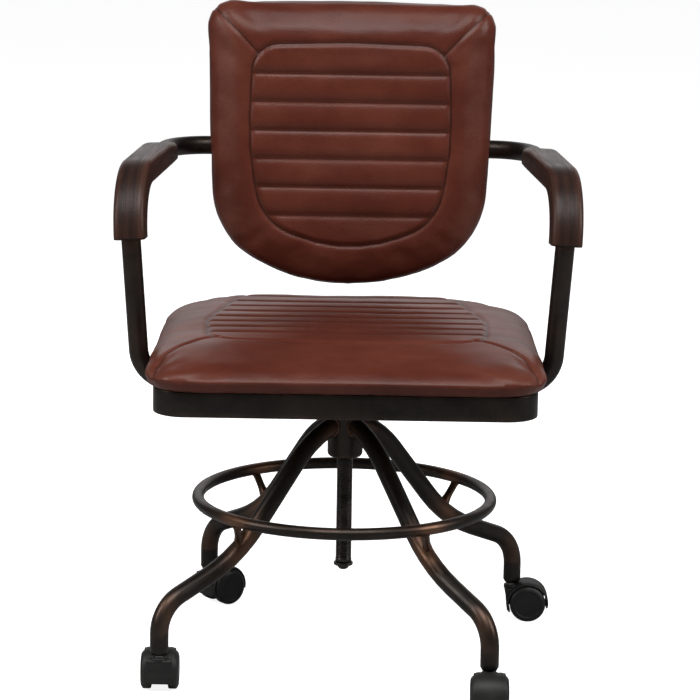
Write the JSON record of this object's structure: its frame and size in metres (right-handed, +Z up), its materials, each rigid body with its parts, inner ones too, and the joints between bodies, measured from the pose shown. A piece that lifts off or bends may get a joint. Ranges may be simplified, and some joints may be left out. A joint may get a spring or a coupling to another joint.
{
  "type": "bankers_swivel_chair",
  "caption": "Bankers swivel chair: sewn brown leather seat and back, dark wooden arm pads on a bent tube, four curved tube legs with a foot ring, screw height adjustment and twin-wheel casters",
  "frame": {"origin": "on the floor, straight below the seat screw", "axes": "+X to the right as seen from the front, +Y to the back, +Z up; the sitter faces -Y"},
  "size_m": [0.6072, 0.5727, 0.8601],
  "materials": {
    "frame_steel": "dark burnished bronze with worn coppery edges",
    "nut_brass": "turned, oiled",
    "screw_steel": "blackened, lightly oiled",
    "caster_steel": "zinc plated",
    "caster_plastic": "moulded black",
    "wheel_plastic": "moulded black",
    "board_plywood": "sanded plywood",
    "seat_leather": "semi-gloss waxed leather",
    "arm_wood": "very dark brown, satin"
  },
  "bodies": {
    "base": {"hub": "frame_steel", "screw_nut": "nut_brass", "leg_rear_right": "frame_steel", "leg_rear_left": "frame_steel", "leg_front_left": "frame_steel", "leg_front_right": "frame_steel", "foot_ring": "frame_steel", "ring_strut_rear_right": "frame_steel", "ring_strut_rear_left": "frame_steel", "ring_strut_front_left": "frame_steel", "ring_strut_front_right": "frame_steel", "caster_socket_rear_right": "caster_plastic", "caster_socket_rear_left": "caster_plastic", "caster_socket_front_left": "caster_plastic", "caster_socket_front_right": "caster_plastic"},
    "washer": {"stop_washer": "screw_steel"},
    "seat": {"seat_screw": "screw_steel", "screw_end_cap": "screw_steel", "mounting_plate": "frame_steel", "plate_bolts": "screw_steel", "cross_rail_front": "frame_steel", "cross_rail_rear": "frame_steel", "seat_frame": "frame_steel", "seat_board": "board_plywood", "seat_cushion": "seat_leather", "arm_tube": "frame_steel", "armrest_left": "arm_wood", "armrest_right": "arm_wood", "armrest_screws": "screw_steel", "back_board": "board_plywood", "back_cushion": "seat_leather", "back_cover": "seat_leather", "back_clamp_left": "screw_steel", "back_clamp_right": "screw_steel", "back_screws": "screw_steel"},
    "caster_rear_right": {"caster_stem_rear_right": "caster_steel", "caster_hood_rear_right": "caster_plastic", "caster_axle_rear_right": "caster_steel"},
    "wheel_rear_right_a": {"wheel_rear_right_a": "wheel_plastic"},
    "wheel_rear_right_b": {"wheel_rear_right_b": "wheel_plastic"},
    "caster_rear_left": {"caster_stem_rear_left": "caster_steel", "caster_hood_rear_left": "caster_plastic", "caster_axle_rear_left": "caster_steel"},
    "wheel_rear_left_a": {"wheel_rear_left_a": "wheel_plastic"},
    "wheel_rear_left_b": {"wheel_rear_left_b": "wheel_plastic"},
    "caster_front_left": {"caster_stem_front_left": "caster_steel", "caster_hood_front_left": "caster_plastic", "caster_axle_front_left": "caster_steel"},
    "wheel_front_left_a": {"wheel_front_left_a": "wheel_plastic"},
    "wheel_front_left_b": {"wheel_front_left_b": "wheel_plastic"},
    "caster_front_right": {"caster_stem_front_right": "caster_steel", "caster_hood_front_right": "caster_plastic", "caster_axle_front_right": "caster_steel"},
    "wheel_front_right_a": {"wheel_front_right_a": "wheel_plastic"},
    "wheel_front_right_b": {"wheel_front_right_b": "wheel_plastic"}
  },
  "joints": [
    {"name": "seat_lift", "type": "slide", "parent": "base", "child": "washer", "axis": [0, 0, 1], "range_m": [0, 0.1425]},
    {"name": "seat_turn", "type": "hinge", "parent": "washer", "child": "seat", "pos_m": [0, 0, 0.127], "axis": [0, 0, 1], "range_deg": [0, 20520]},
    {"name": "swivel_rear_right", "type": "hinge", "parent": "base", "child": "caster_rear_right", "pos_m": [0.23653, 0.19017, 0.07], "axis": [0, 0, 1], "continuous": true},
    {"name": "roll_rear_right_a", "type": "hinge", "parent": "caster_rear_right", "child": "wheel_rear_right_a", "pos_m": [0.25853, 0.19017, 0.025], "axis": [0, 1, 0], "continuous": true},
    {"name": "roll_rear_right_b", "type": "hinge", "parent": "caster_rear_right", "child": "wheel_rear_right_b", "pos_m": [0.25853, 0.19017, 0.025], "axis": [0, 1, 0], "continuous": true},
    {"name": "swivel_rear_left", "type": "hinge", "parent": "base", "child": "caster_rear_left", "pos_m": [-0.19017, 0.23653, 0.07], "axis": [0, 0, 1], "continuous": true},
    {"name": "roll_rear_left_a", "type": "hinge", "parent": "caster_rear_left", "child": "wheel_rear_left_a", "pos_m": [-0.17332, 0.25067, 0.025], "axis": [-0.6428, 0.766, 0], "continuous": true},
    {"name": "roll_rear_left_b", "type": "hinge", "parent": "caster_rear_left", "child": "wheel_rear_left_b", "pos_m": [-0.17332, 0.25067, 0.025], "axis": [-0.6428, 0.766, 0], "continuous": true},
    {"name": "swivel_front_left", "type": "hinge", "parent": "base", "child": "caster_front_left", "pos_m": [-0.23653, -0.19017, 0.07], "axis": [0, 0, 1], "continuous": true},
    {"name": "roll_front_left_a", "type": "hinge", "parent": "caster_front_left", "child": "wheel_front_left_a", "pos_m": [-0.23653, -0.16817, 0.025], "axis": [-1, 0, 0], "continuous": true},
    {"name": "roll_front_left_b", "type": "hinge", "parent": "caster_front_left", "child": "wheel_front_left_b", "pos_m": [-0.23653, -0.16817, 0.025], "axis": [-1, 0, 0], "continuous": true},
    {"name": "swivel_front_right", "type": "hinge", "parent": "base", "child": "caster_front_right", "pos_m": [0.19017, -0.23653, 0.07], "axis": [0, 0, 1], "continuous": true},
    {"name": "roll_front_right_a", "type": "hinge", "parent": "caster_front_right", "child": "wheel_front_right_a", "pos_m": [0.19017, -0.25853, 0.025], "axis": [1, 0, 0], "continuous": true},
    {"name": "roll_front_right_b", "type": "hinge", "parent": "caster_front_right", "child": "wheel_front_right_b", "pos_m": [0.19017, -0.25853, 0.025], "axis": [1, 0, 0], "continuous": true}
  ],
  "couplings": [
    {"joint": "seat_lift", "follows": "seat_turn", "m_per_rad": 0.00039789}
  ]
}
